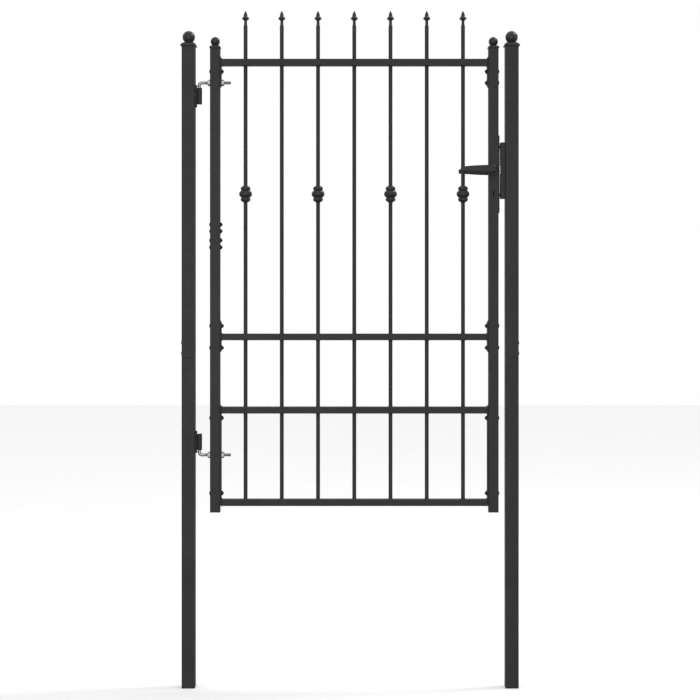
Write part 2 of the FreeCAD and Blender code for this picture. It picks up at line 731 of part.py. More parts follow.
def handle_roses():
    """The bearing plates of the two handles, on the front and back of the stile."""
    roses = []
    for way in (-1, 1):
        y = way * STILE_SIDE / 2
        far = y + way * ROSE_THICK
        rose = stadium_plate(*ROSE_HALF, min(y, far), max(y, far), RIGHT_STILE_X, SPINDLE_Z)
        start = V(RIGHT_STILE_X, y - way, SPINDLE_Z)
        roses.append(rose.cut(rod(start, Y_AXIS * way, ROSE_THICK + 2, JOURNAL_R + JOURNAL_CLEARANCE)))
    return roses


def key_escutcheons():
    plates = []
    for way in (-1, 1):
        y = way * STILE_SIDE / 2
        far = y + way * ESCUTCHEON_THICK
        z = KEY_Z - KEYHOLE_DROP / 2 + KEYHOLE_R / 2
        shape = stadium_plate(*ESCUTCHEON_HALF, min(y, far), max(y, far), RIGHT_STILE_X, z)
        plates.append(shape.cut(keyhole(min(y, far) - 1, max(y, far) + 1)))
    return plates


def lever_outline(z):
    """The front face of a lever: deep and rounded at its root, drop-shaped at its tip."""
    y = -NECK_FRONT - LEVER_DEPTH
    root = RIGHT_STILE_X + NECK_HALF[0]
    tip = LEVER_TIP_X
    corner = LEVER_ROOT_CORNER
    tip_low, tip_high, shoulder = (z + rise for rise in LEVER_TIP_Z)
    root_low, root_high = (z + rise for rise in LEVER_ROOT_Z)
    lag = corner * (1 - math.sqrt(0.5))
    low_start = V(root - corner, y, root_low)
    low_end = V(root, y, root_low + corner)
    high_start = V(root, y, root_high - corner)
    high_end = V(root - corner, y, root_high)
    shoulder_end = V(tip + LEVER_TIP_RUN, y, shoulder)
    edges = polyline([V(tip, y, tip_high), V(tip, y, tip_low), low_start])
    edges.append(arc(low_start, V(root - lag, y, root_low + lag), low_end))
    edges += polyline([low_end, high_start])
    edges.append(arc(high_start, V(root - lag, y, root_high - lag), high_end))
    edges += polyline([high_end, shoulder_end])
    nose = V(tip + LEVER_TIP_RUN / 3, y, (tip_high + 2 * shoulder) / 3)
    edges.append(arc(shoulder_end, nose, V(tip, y, tip_high)))
    return Part.Face(Part.Wire(edges))


def handle(way):
    """A lever handle: journal in the rose, oval neck and a tapering grip towards the pickets."""
    x, z = RIGHT_STILE_X, SPINDLE_Z
    half_w, half_h = NECK_HALF
    neck_root = STILE_SIDE / 2 + ROSE_THICK + 1.0
    journal_y = STILE_SIDE / 2 + JOURNAL_INSET
    journal = rod(V(x, -journal_y, z), -Y_AXIS, NECK_FRONT - journal_y, JOURNAL_R)
    neck = block(x - half_w, x + half_w, -NECK_FRONT, -neck_root, z - half_h, z + half_h)
    neck = neck.makeFillet(NECK_CORNER, edges_along(neck, Y_AXIS))
    grip = lever_outline(z).extrude(Y_AXIS * LEVER_DEPTH)
    side = SPINDLE_SIDE / 2
    socket = block(x - side, x + side, -SPINDLE_HALF, 0, z - side, z + side)
    shape = journal.fuse([neck, grip]).cut(socket).removeSplitter()
    if way > 0:
        shape = shape.mirror(V(0, 0, 0), Y_AXIS)
    return shape


def handle_spindle():
    side = SPINDLE_SIDE / 2
    x, z = RIGHT_STILE_X, SPINDLE_Z
    return block(x - side, x + side, -SPINDLE_HALF, SPINDLE_HALF, z - side, z + side)


# ---- keep ----

def keep():
    """A folded box on the post: windowed face, two flanges, lids and two tabs that stop the leaf."""
    x1 = POST_X - POST_SIDE / 2
    z0, z1 = KEEP_Z
    face = block(KEEP_FACE_X, KEEP_FACE_X + KEEP_SHEET, KEEP_FRONT_Y, STOP_Y[1], z0, z1)
    folds = [
        block(KEEP_FACE_X, x1, KEEP_FRONT_Y, KEEP_FRONT_Y + KEEP_SHEET, z0, z1),
        block(KEEP_FACE_X, x1, *STOP_Y, z0, z1),
    ]
    for low in (z0, z1 - KEEP_SHEET):
        folds.append(block(KEEP_FACE_X, x1, KEEP_FRONT_Y, STOP_Y[1], low, low + KEEP_SHEET))
    for z in KEEP_SCREW_Z:
        folds.append(block(STOP_X, KEEP_FACE_X, *STOP_Y, z - STOP_HALF_HEIGHT, z + STOP_HALF_HEIGHT))
    shape = face.fuse(folds).removeSplitter()
    for low, high in (LATCH_Z, DEADBOLT_Z):
        window = block(KEEP_FACE_X - 1, KEEP_FACE_X + KEEP_SHEET + 1, -KEEP_WINDOW_HALF, KEEP_WINDOW_HALF,
                       low - KEEP_WINDOW_GAP, high + KEEP_WINDOW_GAP)
        shape = shape.cut(window)
    for z in KEEP_SCREW_Z:
        shape = shape.cut(rod(V(KEEP_FACE_X - 1, 0, z), X_AXIS, KEEP_SHEET + 2, KEEP_SCREW_R))
    return shape


def keep_screws():
    screws = []
    for z in KEEP_SCREW_Z:
        seat = V(KEEP_FACE_X, 0, z)
        head = dome(seat, -X_AXIS, KEEP_SCREW_HEAD_R, KEEP_SCREW_HEAD)
        screws.append(head.fuse(rod(seat, X_AXIS, KEEP_SCREW_REACH, KEEP_SCREW_R)))
    return screws


# ---- the whole gate ----

def build_nodes():
    nodes = {}
    for name, side in (("left", -1), ("right", 1)):
        nodes["post_lower_" + name] = post_lower(side)
        nodes["post_upper_" + name] = post_upper(side)
        nodes["post_spigot_" + name] = post_spigot(side)
        nodes["post_cap_" + name] = post_cap(side)
        plug = foot_plug(side * POST_X, 0.0, POST_SIDE, POST_WALL, POST_CORNER)
        nodes["post_foot_plug_" + name] = plug
        for level, span in PLATES.items():
            nodes["bracket_plate_" + level + "_" + name] = plate(side, span)
    nodes["post_lower_left"] = cut_bracket_holes(nodes["post_lower_left"], "lower")
    nodes["post_screws"] = post_screws()
    for which in ("upper", "lower"):
        nodes["hinge_bracket_" + which] = hinge_bracket(which)
        nodes["hinge_bolt_" + which] = hinge_bolt(which)
    nodes["hinge_bracket_screws"] = hinge_bracket_screws()
    nodes["hinge_nuts"] = hinge_nuts()
    nodes["left_stile_lower"] = left_stile(STILE_BOTTOM_Z + PLUG_PLATE, STILE_SEAM_Z, "lower")
    nodes["left_stile_upper"] = left_stile(STILE_SEAM_Z, STILE_TOP_Z, "upper")
    nodes["left_stile_sleeve"] = left_stile_sleeve()
    nodes["right_stile"] = right_stile()
    nodes["stile_cap_left"] = stile_cap(LEFT_STILE_X)
    nodes["stile_cap_right"] = stile_cap(RIGHT_STILE_X)
    nodes["stile_foot_plugs"] = stile_plugs()
    for name, z in RAILS.items():
        nodes[name] = rail(z, name != "rail_bottom")
    for index in range(PICKET_COUNT):
        nodes["picket_%d" % (index + 1)] = picket(index)
    nodes["spear_tips"] = [spear(picket_x(index)) for index in range(PICKET_COUNT)]
    nodes["picket_collars"] = [collar(picket_x(index)) for index in range(0, PICKET_COUNT, 2)]
    nodes["carriage_bolts"] = carriage_bolts()
    nodes["flange_nuts"] = flange_nuts()
    nodes["lock_case"] = lock_case()
    nodes["lock_forend"] = lock_forend()
    nodes["forend_screws"] = forend_screws()
    nodes["hub"] = hub()
    nodes["latch_bolt"] = latch_bolt()
    nodes["latch_spring"] = latch_spring()
    nodes["deadbolt"] = deadbolt()
    nodes["handle_roses"] = handle_roses()
    nodes["key_escutcheons"] = key_escutcheons()
    nodes["handle_front"] = handle(-1)
    nodes["handle_back"] = handle(1)
    nodes["handle_spindle"] = handle_spindle()
    nodes["keep"] = keep()
    nodes["keep_screws"] = keep_screws()
    return nodes


os.makedirs("parts", exist_ok=True)
for node, shape in build_nodes().items():
    if isinstance(shape, list):
        shape = Part.makeCompound(shape)
    shape.exportStep("parts/" + node + ".step")
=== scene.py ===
import math

import bmesh
import bpy
from mathutils import Matrix, Vector, noise


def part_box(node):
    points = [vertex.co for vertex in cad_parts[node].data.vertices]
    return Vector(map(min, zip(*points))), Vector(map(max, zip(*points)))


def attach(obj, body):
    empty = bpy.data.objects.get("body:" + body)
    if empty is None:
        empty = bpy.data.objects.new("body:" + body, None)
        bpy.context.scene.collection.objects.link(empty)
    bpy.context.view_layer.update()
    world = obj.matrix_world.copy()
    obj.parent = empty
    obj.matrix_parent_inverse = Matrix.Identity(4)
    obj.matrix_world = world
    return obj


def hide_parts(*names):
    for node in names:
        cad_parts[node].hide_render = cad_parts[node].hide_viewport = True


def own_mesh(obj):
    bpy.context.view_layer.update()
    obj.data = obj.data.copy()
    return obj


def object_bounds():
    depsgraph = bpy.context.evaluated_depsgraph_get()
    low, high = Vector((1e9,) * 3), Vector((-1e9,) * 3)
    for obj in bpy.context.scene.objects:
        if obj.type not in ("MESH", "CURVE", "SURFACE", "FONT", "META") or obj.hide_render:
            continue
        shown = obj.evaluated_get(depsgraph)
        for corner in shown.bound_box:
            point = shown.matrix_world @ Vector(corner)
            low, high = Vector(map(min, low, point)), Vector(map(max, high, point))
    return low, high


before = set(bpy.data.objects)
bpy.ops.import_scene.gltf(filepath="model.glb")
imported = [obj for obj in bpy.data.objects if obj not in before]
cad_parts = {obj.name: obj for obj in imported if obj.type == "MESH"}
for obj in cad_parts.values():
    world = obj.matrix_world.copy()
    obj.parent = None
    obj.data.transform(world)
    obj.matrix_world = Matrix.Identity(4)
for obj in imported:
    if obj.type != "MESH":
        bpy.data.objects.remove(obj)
cad_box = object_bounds()

MM = 0.001
SMOOTH_ANGLE = math.radians(38)

# Camera, as far from the leaf as the photograph's perspective says
CAMERA_DISTANCE = 5.0
CAMERA_X = -0.0005
VIEW_CENTRE_Z = 1.0232
LENS = 84.7
SENSOR = 36.0
LENS_SHIFT = -0.065

# Screw threads: the depth is a share of the pitch
M6_PITCH = 1.0 * MM
M10_PITCH = 1.5 * MM
THREAD_DEPTH = 0.61
RINGS_PER_TURN = 8
HINGE_THREAD_FROM = 18 * MM

# Rounding of the sharp edges of CAD nodes
EDGE_ROUNDS = {
    "bracket_plate": 0.5 * MM,
    "keep": 1.2 * MM,
    "lock_forend": 0.4 * MM,
    "key_escutcheons": 0.6 * MM,
    "hinge_bracket_upper": 0.6 * MM,
    "hinge_bracket_lower": 0.6 * MM,
}

# Lock parts inside the leaf are drawn near-black as painted shade, so the keyhole reads dark; the bolt itself
# is bare steel
LOCK_SHADE_NODES = ("deadbolt", "lock_case", "hub")

COIL_TURNS = 9

# Fillet welds
PICKET_BEAD = 1.5 * MM
RAIL_BEAD = 2.2 * MM
BARREL_BEAD = 3.0 * MM

# Strength of the surrounding light by height and by side, and the floor's own glow.
WORLD_BELOW = 0.20
WORLD_LEVEL = 0.62
WORLD_ABOVE = 0.95
WORLD_FRONT = 0.92
WORLD_BACK = 0.95
FLOOR_HALF = 14.0
FLOOR_GLOW = 0.18


# ---- mesh building ----

def loft(bm, loops, ring=False):
    """A skin over a row of closed loops: a ring joins the last to the first, else both ends are capped."""
    rows = [[bm.verts.new(point) for point in loop] for loop in loops]
    pairs = list(zip(rows, rows[1:]))
    if ring:
        pairs.append((rows[-1], rows[0]))
    for low, high in pairs:
        for here in range(len(low)):
            there = (here + 1) % len(low)
            bm.faces.new((low[here], low[there], high[there], high[here]))
    if not ring:
        bm.faces.new(list(reversed(rows[0])))
        bm.faces.new(rows[-1])


def turned(bm, profile, place, segments=40, ring=False):
    """A lofted body about the local Z axis. An entry is (radius, height) or a function of the angle."""
    loops = []
    for entry in profile:
        loop = []
        for step in range(segments):
            angle = 2 * math.pi * step / segments
            radius, height = entry(angle) if callable(entry) else entry
            loop.append(place @ Vector((radius * math.cos(angle), radius * math.sin(angle), height)))
        loops.append(loop)
    loft(bm, loops, ring)


def arc(centre, radius, start, end, steps):
    """Points (radius, height) of a circular arc, with angles in degrees from the outward direction."""
    points = []
    for step in range(steps + 1):
        angle = math.radians(start + (end - start) * step / steps)
        points.append((centre[0] + radius * math.cos(angle), centre[1] + radius * math.sin(angle)))
    return points


def smooth_line(points, steps=6):
    """A Catmull-Rom curve through every point."""
    curve = []
    padded = [points[0]] + list(points) + [points[-1]]
    for p0, p1, p2, p3 in zip(padded, padded[1:], padded[2:], padded[3:]):
        for step in range(steps):
            t = step / steps
            weights = (-t + 2 * t ** 2 - t ** 3, 2 - 5 * t ** 2 + 3 * t ** 3,
                       t + 4 * t ** 2 - 3 * t ** 3, -t ** 2 + t ** 3)
            near = (p0, p1, p2, p3)
            blend = [sum(w * p[axis] for w, p in zip(weights, near)) / 2 for axis in range(len(p1))]
            curve.append(tuple(blend))
    curve.append(tuple(points[-1]))
    return curve


def hex_radius(flats, angle):
    """Distance from the axis to the side of a hexagon in that direction."""
    return flats / 2 / math.cos((angle + math.pi / 6) % (math.pi / 3) - math.pi / 6)


def hex_ring(flats, height, chamfer_from=None, way=1):
    """One loop round a hexagon; with chamfer_from it follows the cone that cuts a nut's corners."""
    def entry(angle):
        radius = hex_radius(flats, angle)
        if chamfer_from is None:
            return radius, height
        cut = max(0.0, radius - chamfer_from) * math.tan(math.radians(30))
        return radius, height - way * cut
    return entry


def thread_rings(radius, pitch, start, length):
    """Loops of a screw thread from start, with a chamfered far end."""
    depth = THREAD_DEPTH * pitch
    count = max(2, round(length / pitch * RINGS_PER_TURN))

    def entry_at(height):
        def entry(angle):
            phase = (height / pitch - angle / (2 * math.pi)) % 1.0
            tooth = depth * min(1.0, 2.4 * abs(phase - 0.5))
            end_cut = max(0.0, height - (start + length - depth))
            return radius - max(depth - tooth, 0.0) - end_cut * 0.9, height
        return entry
    return [entry_at(start + length * step / count) for step in range(count + 1)]


def squircle(half, power):
    """Radius function of a rounded square: power 2 is a circle, a high power is nearly a square."""
    def radius(angle):
        total = abs(math.cos(angle)) ** power + abs(math.sin(angle)) ** power
        return half * total ** (-1 / power)
    return radius


def square_ring(half, power, height):
    outline = squircle(half, power)
    return lambda angle: (outline(angle), height)


def along(axis, place):
    """A matrix that puts local Z on a world axis, at a place."""
    return Matrix.Translation(place) @ Vector(axis).to_track_quat("Z", "Y").to_matrix().to_4x4()


def solids(node):
    """Lowest and highest corner of every separate solid in a CAD node."""
    bm = bmesh.new()
    bm.from_mesh(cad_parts[node].data)
    bmesh.ops.remove_doubles(bm, verts=bm.verts, dist=0.01 * MM)
    seen = set()
    boxes = []
    for first in bm.verts:
        if first in seen:
            continue
        seen.add(first)
        waiting = [first]
        places = []
        while waiting:
            vert = waiting.pop()
            places.append(vert.co)
            for edge in vert.link_edges:
                other = edge.other_vert(vert)
                if other not in seen:
                    seen.add(other)
                    waiting.append(other)
        low = Vector([min(p[axis] for p in places) for axis in range(3)])
        high = Vector([max(p[axis] for p in places) for axis in range(3)])
        boxes.append((low, high))
    bm.free()
    return boxes


def finish_piece(name, bm, material, body, slot, *replaced):
    """Makes the named piece from a mesh and hangs it on its CAD body."""
    bmesh.ops.recalc_face_normals(bm, faces=bm.faces)
    mesh = bpy.data.meshes.new(name)
    bm.to_mesh(mesh)
    bm.free()
    mesh.shade_smooth()
    mesh.set_sharp_from_angle(angle=SMOOTH_ANGLE)
    mesh.materials.append(material)
    piece = bpy.data.objects.new(name, mesh)
    bpy.context.scene.collection.objects.link(piece)
    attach(piece, body)
    if replaced:
        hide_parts(*replaced)
    return piece


# ---- materials ----

class Shader:
    """A small helper that adds and links the nodes of one material."""

    def __init__(self, name):
        self.material = bpy.data.materials.new(name)
        self.material.use_nodes = True
        self.tree = self.material.node_tree
        self.surface = self.tree.nodes["Principled BSDF"]
        self.coordinates = self.tree.nodes.new("ShaderNodeTexCoord").outputs["Object"]

    def link(self, source, target):
        self.tree.links.new(source, target)

    def noise(self, scale, detail=4.0, roughness=0.55):
        node = self.tree.nodes.new("ShaderNodeTexNoise")
        self.link(self.coordinates, node.inputs["Vector"])
        node.inputs["Scale"].default_value = scale
        node.inputs["Detail"].default_value = detail
        node.inputs["Roughness"].default_value = roughness
        return node.outputs["Fac"]

    def ranged(self, source, low, high, from_low=0.3, from_high=0.7):
        node = self.tree.nodes.new("ShaderNodeMapRange")
        self.link(source, node.inputs["Value"])
        node.inputs["From Min"].default_value = from_low
        node.inputs["From Max"].default_value = from_high
        node.inputs["To Min"].default_value = low
        node.inputs["To Max"].default_value = high
        return node.outputs["Result"]

    def mix(self, factor, first, second):
        """Mixes two colours, each a tuple or an output."""
        node = self.tree.nodes.new("ShaderNodeMix")
        node.data_type = "RGBA"
        self.link(factor, node.inputs["Factor"])
        for value, socket in ((first, node.inputs[6]), (second, node.inputs[7])):
            if isinstance(value, tuple):
                socket.default_value = (*value, 1.0)
            else:
                self.link(value, socket)
        return node.outputs[2]

    def bump(self, height, distance, strength=1.0, under=None):
        node = self.tree.nodes.new("ShaderNodeBump")
        self.link(height, node.inputs["Height"])
        node.inputs["Distance"].default_value = distance
        node.inputs["Strength"].default_value = strength
        if under is not None:
            self.link(under, node.inputs["Normal"])
        return node.outputs["Normal"]


def coat(name, tone, roughness, peel_scale, peel_height, gloss=0.5):
    """Powder coat: fine orange peel, slight cloudiness and a few duller patches."""
    s = Shader(name)
    cloud = s.noise(9.0, 3.0)
    speck = s.noise(1400.0, 2.0)
    dark = tuple(0.86 * c for c in tone)
    light = tuple(1.14 * c for c in tone)
    colour = s.mix(s.ranged(cloud, 0.0, 1.0), dark, light)
    fine = s.mix(s.ranged(speck, 0.0, 0.22), colour, tuple(1.5 * c for c in tone))
    s.link(fine, s.surface.inputs["Base Color"])
    s.link(s.ranged(s.noise(60.0, 5.0), roughness - 0.05, roughness + 0.06), s.surface.inputs["Roughness"])
    wave = s.bump(s.noise(peel_scale, 2.0), peel_height, 0.5)
    grain = s.bump(s.noise(peel_scale * 4.5, 2.0), peel_height * 0.12, 0.5, wave)
    s.link(grain, s.surface.inputs["Normal"])
    s.surface.inputs["Specular IOR Level"].default_value = gloss
    return s.material


def plated(name, tone, roughness, grain_height):
    """Plated or bare steel: metallic, with fine mottling and a fine grain."""
    s = Shader(name)
    mottle = s.noise(260.0, 6.0)
    dark = tuple(0.78 * c for c in tone)
    s.link(s.mix(s.ranged(mottle, 0.0, 1.0), dark, tone), s.surface.inputs["Base Color"])
    s.link(s.ranged(s.noise(700.0, 4.0), roughness - 0.07, roughness + 0.1), s.surface.inputs["Roughness"])
    s.link(s.bump(s.noise(2200.0, 3.0), grain_height, 0.5), s.surface.inputs["Normal"])
    s.surface.inputs["Metallic"].default_value = 1.0
    return s.material


MATERIALS = {
    "powder_coat": coat("powder_coat_look", (0.032, 0.032, 0.0325), 0.50, 420.0, 0.000012, 0.32),
    "coated_castings": coat("coated_castings_look", (0.022, 0.022, 0.0225), 0.27, 300.0, 0.00001),
    "coated_handle": coat("coated_handle_look", (0.022, 0.022, 0.0225), 0.40, 900.0, 0.00001, 0.4),
    "black_fastener": coat("black_fastener_look", (0.010, 0.010, 0.0105), 0.42, 900.0, 0.00002),
    "black_plastic": coat("black_plastic_look", (0.010, 0.010, 0.010), 0.55, 1200.0, 0.00002),
    "bright_zinc": plated("bright_zinc_look", (0.60, 0.61, 0.62), 0.42, 0.00001),
    # painted shade: a near-black look for the lock's inside, so the keyhole reads dark
    "painted_lock_shade": coat("painted_lock_shade_look", (0.006, 0.006, 0.006), 0.5, 900.0, 0.00001, 0.2),
    "bare_steel": plated("bare_steel_look", (0.72, 0.72, 0.73), 0.24, 0.00001),
}


def paint_cad_nodes():
    """Every CAD node takes the look of its slot in the record; the lock's inside is painted near-black as
    painted shade, so the keyhole reads dark.
    """
    for name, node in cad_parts.items():
        for material_slot in node.material_slots:
            look = "painted_lock_shade" if name in LOCK_SHADE_NODES else material_slot.material.name
            material_slot.material = MATERIALS[look]


# ---- hinges ----

def hinge_rod(which):
    """A bent rod with a plain pin and a threaded leg through the stile."""
    node = "hinge_bolt_" + which
    low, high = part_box(node)
    radius = (high.y - low.y) / 2
    axis_x = low.x + radius
    bend_r = 8 * MM
    down = which == "upper"
    way = -1 if down else 1
    leg_z = high.z - radius if down else low.z + radius
    pin_end = low.z if down else high.z
    bend_z = leg_z + way * bend_r
    frames = []
    for z in (pin_end, pin_end - way * 1.2 * MM, bend_z):
        frames.append((Vector((axis_x, 0, z)), Vector((1, 0, 0))))
    frames[0] = (frames[0][0], frames[0][1] * 0.82)
    for step in range(1, 13):
        turn = math.radians(90 * step / 12)
        centre = Vector((axis_x + bend_r, 0, bend_z))
        out = Vector((-math.cos(turn), 0, -way * math.sin(turn)))
        frames.append((centre + out * bend_r, -out))
    bm = bmesh.new()
    side = Vector((0, 1, 0))
    segments = 32
    loops = []
    for place, normal in frames:
        loop = []
        for step in range(segments):
            angle = 2 * math.pi * step / segments
            loop.append(place + radius * (normal * math.cos(angle) + side * math.sin(angle) * normal.length))
        loops.append(loop)
    start = axis_x + bend_r
    plain = HINGE_THREAD_FROM - bend_r
    leg_normal = frames[-1][1]
    for ring in thread_rings(radius, M10_PITCH, plain, high.x - start - plain):
        loop = []
        for step in range(segments):
            angle = 2 * math.pi * step / segments
            r, height = ring(angle)
            out = leg_normal * math.cos(angle) + side * math.sin(angle)
            loop.append(Vector((start + height, 0, leg_z)) + r * out)
        loops.append(loop)
    loft(bm, loops)
    finish_piece("hinge_rod_" + which, bm, MATERIALS["bright_zinc"], "gate_leaf", "bright_zinc", node)


def hinge_hex_nuts():
    """M10 nuts with chamfered corners on both faces."""
    bm = bmesh.new()
    for low, high in solids("hinge_nuts"):
        flats = high.y - low.y
        height = high.x - low.x
        place = along((1, 0, 0), Vector((low.x, 0, (low.z + high.z) / 2)))
        face_r = flats * 0.47
        bore = 5 * MM
        rings = [
            (bore + 0.05 * MM, 0.5 * MM), (bore + 0.6 * MM, 0.0), (face_r, 0.0),
            hex_ring(flats, 0.0, face_r, -1), hex_ring(flats, height, face_r, 1),
            (face_r, height), (bore + 0.6 * MM, height), (bore + 0.05 * MM, height - 0.5 * MM),
        ]
        turned(bm, rings, place, 72, ring=True)
    finish_piece("hinge_hex_nuts", bm, MATERIALS["bright_zinc"], "gate_leaf", "bright_zinc", "hinge_nuts")


# ---- bolts and screws ----

def flange_nut_set():
    """M6 flange nuts: a rounded skirt under a chamfered hexagon with its flats up and down."""
    flats = 12 * MM
    bore = 3.05 * MM
    face_r = 5.2 * MM
    bm = bmesh.new()
    for low, high in solids("flange_nuts"):
        centre = (low + high) / 2
        inward = 1 if centre.x < 0 else -1
        seat_x = low.x if inward > 0 else high.x
        height = high.x - low.x
        skirt_r = (high.z - low.z) / 2
        place = along((inward, 0, 0), Vector((seat_x, 0, centre.z)))
        place = place @ Matrix.Rotation(math.radians(30), 4, "Z")
        rings = [(bore, 0.0), (skirt_r - 0.3 * MM, 0.0), (skirt_r, 0.3 * MM), (skirt_r, 0.8 * MM)]
        rings += [(skirt_r - 0.6 * MM, 1.4 * MM), (7.05 * MM, 1.8 * MM)]
        rings += [hex_ring(flats, 1.85 * MM), hex_ring(flats, height, face_r), (face_r, height)]
        rings += [(bore + 0.5 * MM, height), (bore, height - 0.5 * MM)]
        turned(bm, rings, place, 60, ring=True)
    look = MATERIALS["black_fastener"]
    finish_piece("flange_nut_set", bm, look, "gate_leaf", "black_fastener", "flange_nuts")


def carriage_bolt_set():
    """M6 carriage bolts: a low round head outside and a threaded end inside."""
    bm = bmesh.new()
    for low, high in solids("carriage_bolts"):
        centre = (low + high) / 2
        inward = 1 if centre.x < 0 else -1
        head_x = low.x if inward > 0 else high.x
        end_x = high.x if inward > 0 else low.x
        head_r = (high.z - low.z) / 2
        head_h = 3.6 * MM
        seat = Vector((head_x + inward * head_h, 0, centre.z))
        ball_r = (head_r ** 2 + head_h ** 2) / (2 * head_h)
        rim = math.degrees(math.asin(head_r / ball_r))
        dome = arc((0, head_h - ball_r), ball_r, 90 - rim + 3, 89.5, 10)
        rings = [(head_r - 0.4 * MM, 0.0), (head_r - 0.05 * MM, 0.25 * MM)] + dome
        turned(bm, rings, along((-inward, 0, 0), seat), 40)
        length = abs(end_x - seat.x)
        tail = 12 * MM
        shank = [(2.9 * MM, 0.0)] + thread_rings(3 * MM, M6_PITCH, length - tail, tail)
        turned(bm, shank, along((inward, 0, 0), seat), 24)
    look = MATERIALS["black_fastener"]
    finish_piece("carriage_bolt_set", bm, look, "gate_leaf", "black_fastener", "carriage_bolts")


def socket_screws(name, node, body, slot, head_h, key_flats):
    """Dome-head screws with a hexagon socket."""
    bm = bmesh.new()
    for low, high in solids(node):
        centre = (low + high) / 2
        outward = head_side(node, centre)
        head_r = (high.z - low.z) / 2
        top_x = high.x if outward > 0 else low.x
        tail_x = low.x if outward > 0 else high.x
        seat = Vector((top_x - outward * head_h, 0, centre.z))
        ball_r = (head_r ** 2 + head_h ** 2) / (2 * head_h)
        socket_r = key_flats * 0.66
        rim = math.degrees(math.asin(head_r / ball_r))
        lip = math.degrees(math.asin(socket_r / ball_r))
        rings = [(head_r * 0.4, -abs(seat.x - tail_x)), (head_r * 0.55, -abs(seat.x - tail_x) + 0.6 * MM)]
        rings += [(head_r * 0.55, 0.0), (head_r - 0.3 * MM, 0.0)]
        rings += arc((0, head_h - ball_r), ball_r, 90 - rim + 2, 90 - lip, 8)
        lip_h = rings[-1][1]
        rings += [hex_ring(key_flats, lip_h - 0.15 * MM), hex_ring(key_flats, head_h * 0.35)]
        turned(bm, rings, along((outward, 0, 0), seat), 48)
    finish_piece(name, bm, MATERIALS[slot], body, slot, node)


def head_side(node, centre):
    """Which way along X the head of a screw points."""
    if node == "post_screws":
        return 1 if centre.x > 0 else -1
    return -1 if node == "keep_screws" else 1


# ---- castings ----

def ball_cap(node):
    """A square flange, a sloped shoulder, a short waisted neck and a ball."""
    low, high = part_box(node)
    centre = (low + high) / 2
    half = (high.x - low.x) / 2
    post = half > 18 * MM
    ball_r = 19.0 * MM if post else 14.2 * MM
    flange_h = 4.8 * MM if post else 5 * MM
    slope = 7.5 * MM if post else 4 * MM
    neck_r = 13.8 * MM if post else 10.2 * MM
    stem = 12 * MM
    base = Vector((centre.x, 0, low.z + stem))
    ball_z = high.z - base.z - ball_r
    stem_half = half - (5.9 if post else 3.6) * MM
    edge = 1.0 * MM
    rings = [square_ring(stem_half, 30, -stem), square_ring(stem_half, 30, 0.0)]
    rings += [square_ring(half - edge, 30, 0.0), square_ring(half, 30, edge)]
    rings.append(square_ring(half, 30, flange_h - edge))
    rings.append(square_ring(half - edge * 0.4, 30, flange_h - edge * 0.3))
    rings.append(square_ring(half - edge * 1.4, 28, flange_h))
    for share in (0.2, 0.4, 0.6, 0.8):
        width = half - edge * 1.4 + (neck_r + 0.7 * MM - half + edge * 1.4) * share ** 1.5
        rings.append(square_ring(width, 28 - 25 * share, flange_h + slope * share))
    meet = math.degrees(math.asin(min(1.0, neck_r / ball_r)))
    ball = arc((0, ball_z), ball_r, meet - 90, 89.0, 28)
    waist_z = (flange_h + slope + ball[0][1]) / 2
    rings += [(neck_r + 0.7 * MM, flange_h + slope), (neck_r - 0.5 * MM, waist_z), *ball]
    bm = bmesh.new()
    turned(bm, rings, Matrix.Translation(base), 96)
    body = "posts" if post else "gate_leaf"
    finish_piece(node + "_casting", bm, MATERIALS["coated_castings"], body, "coated_castings", node)


def spear_tip_set():
    """Cast spear tips: a blunt point, a flared skirt with a thick round rim, a waist and a socket."""
    point = smooth_line([(0.8, 0.0), (3.4, 5.0), (5.2, 10.2), (6.2, 15.8), (7.8, 18.8), (9.9, 20.3)])
    rim = arc((8.5, 0.0), 2.5, 56, -56, 8)
    waist = smooth_line([(8.9, 26.7), (5.9, 28.2), (4.7, 30.6), (4.5, 36.0), (4.9, 42.0), (5.9, 45.4)])
    bm = bmesh.new()
    for low, high in solids("spear_tips"):
        length = (high.z - low.z) / MM
        profile = point + [(radius, 23.6 - rise) for radius, rise in rim] + waist
        profile += [(6.15, 46.6), (6.15, length - 0.5), (6.05, length)]
        rings = [(radius * MM, -depth * MM) for radius, depth in profile]
        turned(bm, rings, Matrix.Translation(Vector(((low.x + high.x) / 2, 0, high.z))), 40)
    look = MATERIALS["coated_castings"]
    finish_piece("cast_spear_tips", bm, look, "gate_leaf", "coated_castings", "spear_tips")


def collar_set():
    """Cast collars: a large ring between two smaller ones, with narrow grooves."""
    bm = bmesh.new()
    for low, high in solids("picket_collars"):
        centre = (low + high) / 2
        widest = (high.x - low.x) / 2
        half = (high.z - low.z) / 2
        upper = [(13.2 * MM, 10.5 * MM), *arc((7.8 * MM, 16.4 * MM), 7.3 * MM, -40, 66, 12)]
        upper += [(7.9 * MM, half - 1.8 * MM), (7.1 * MM, half - 0.6 * MM), (6.1 * MM, half)]
        middle = arc((widest - 11.6 * MM, 0), 11.6 * MM, -56, 56, 16)
        lower = [(r, -z) for r, z in reversed(upper)]
        rings = lower + middle + upper
        turned(bm, rings, Matrix.Translation(Vector((centre.x, 0, centre.z))), 48)
    look = MATERIALS["coated_castings"]
    finish_piece("cast_collars", bm, look, "gate_leaf", "coated_castings", "picket_collars")


# ---- handles ----

def lever_section(place, normal, half_thick, low_z, high_z, power, segments=40):
    """One upright rounded section of the lever, square to its path."""
    outline = squircle(1.0, power)
    mid = (low_z + high_z) / 2
    tall = (high_z - low_z) / 2
    loop = []
    for step in range(segments):
        angle = 2 * math.pi * step / segments
        reach = outline(angle)
        loop.append(place + normal * (half_thick * reach * math.cos(angle))
                    + Vector((0, 0, mid + tall * reach * math.sin(angle) - place.z)))
    return loop


